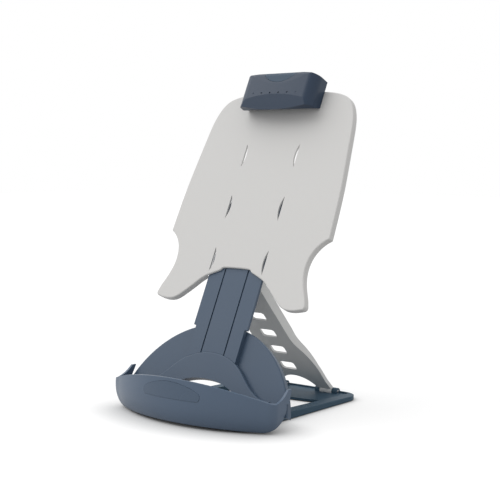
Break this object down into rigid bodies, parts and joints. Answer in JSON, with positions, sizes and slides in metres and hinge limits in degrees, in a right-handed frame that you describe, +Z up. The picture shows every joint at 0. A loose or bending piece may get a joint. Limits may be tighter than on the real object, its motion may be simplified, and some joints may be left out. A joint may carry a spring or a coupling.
{
  "type": "desk copy holder with line guide",
  "caption": "Free-standing desk copy holder: a leaning board slides on a mast above a paper ledge, a clip-on line guide grips the sheets, and a prop leg stands on a flat base frame.",
  "frame": {"origin": "centre of the footprint on the desk top", "axes": "+X to the reader's right, +Y to the back, +Z up"},
  "size_m": [0.2352, 0.245, 0.3784],
  "materials": {
    "board": "fine moulded grain, pale warm grey",
    "slate": "satin slate blue",
    "badge": "smooth satin inlay, bare",
    "base_dark": "dark navy moulding",
    "prop_grey": "mid grey moulding",
    "guide_plastic": "dark slate moulding",
    "nylon": "natural nylon",
    "rubber": "matt black rubber",
    "screws": "zinc plated",
    "steel": "ground bar",
    "spring_steel": "bright drawn wire"
  },
  "bodies": {
    "base": {"base_frame": "base_dark", "rubber_feet": "rubber", "tilt_bushes": "nylon", "prop_pins": "steel"},
    "easel": {"easel_plate": "slate", "paper_ledge": "slate", "ledge_badge": "badge", "ledge_screws": "screws", "slide_mast": "slate", "mast_screws": "screws", "height_stop_screws": "screws", "tilt_pins": "steel"},
    "prop": {"prop_leg": "prop_grey", "prop_tip_shoe": "rubber"},
    "board": {"board_panel": "board", "left_slide_guide": "guide_plastic", "right_slide_guide": "guide_plastic", "guide_rail_screws": "screws", "brake_pads": "nylon"},
    "line_guide": {"guide_housing": "slate", "guide_back": "guide_plastic", "housing_screws": "screws", "lever_pin": "steel", "lever_spring": "spring_steel"},
    "lever": {"thumb_lever": "slate", "jaw_pad": "rubber"}
  },
  "joints": [
    {"name": "easel_tilt", "type": "hinge", "parent": "base", "child": "easel", "pos_m": [0, -0.092, 0.012], "axis": [1, 0, 0], "range_deg": [-8, 5]},
    {"name": "prop_swing", "type": "hinge", "parent": "base", "child": "prop", "pos_m": [0, 0.1135, 0.0056], "axis": [1, 0, 0], "range_deg": [-17.5, 11]},
    {"name": "board_slide", "type": "slide", "parent": "easel", "child": "board", "axis": [0, 0.4368, 0.8996], "range_m": [-0.097, 0]},
    {"name": "guide_lift", "type": "slide", "parent": "board", "child": "line_guide", "axis": [0, -0.8996, 0.4368], "range_m": [0, 0.014]},
    {"name": "lever_press", "type": "hinge", "parent": "line_guide", "child": "lever", "pos_m": [0, 0.07361, 0.35698], "axis": [1, 0, 0], "range_deg": [-8, 0], "stiffness_Nm_per_rad": 0.15, "springref_deg": 11.46}
  ],
  "couplings": [
    {"joint": "prop_swing", "follows": "easel_tilt", "ratio": 2.15}
  ]
}
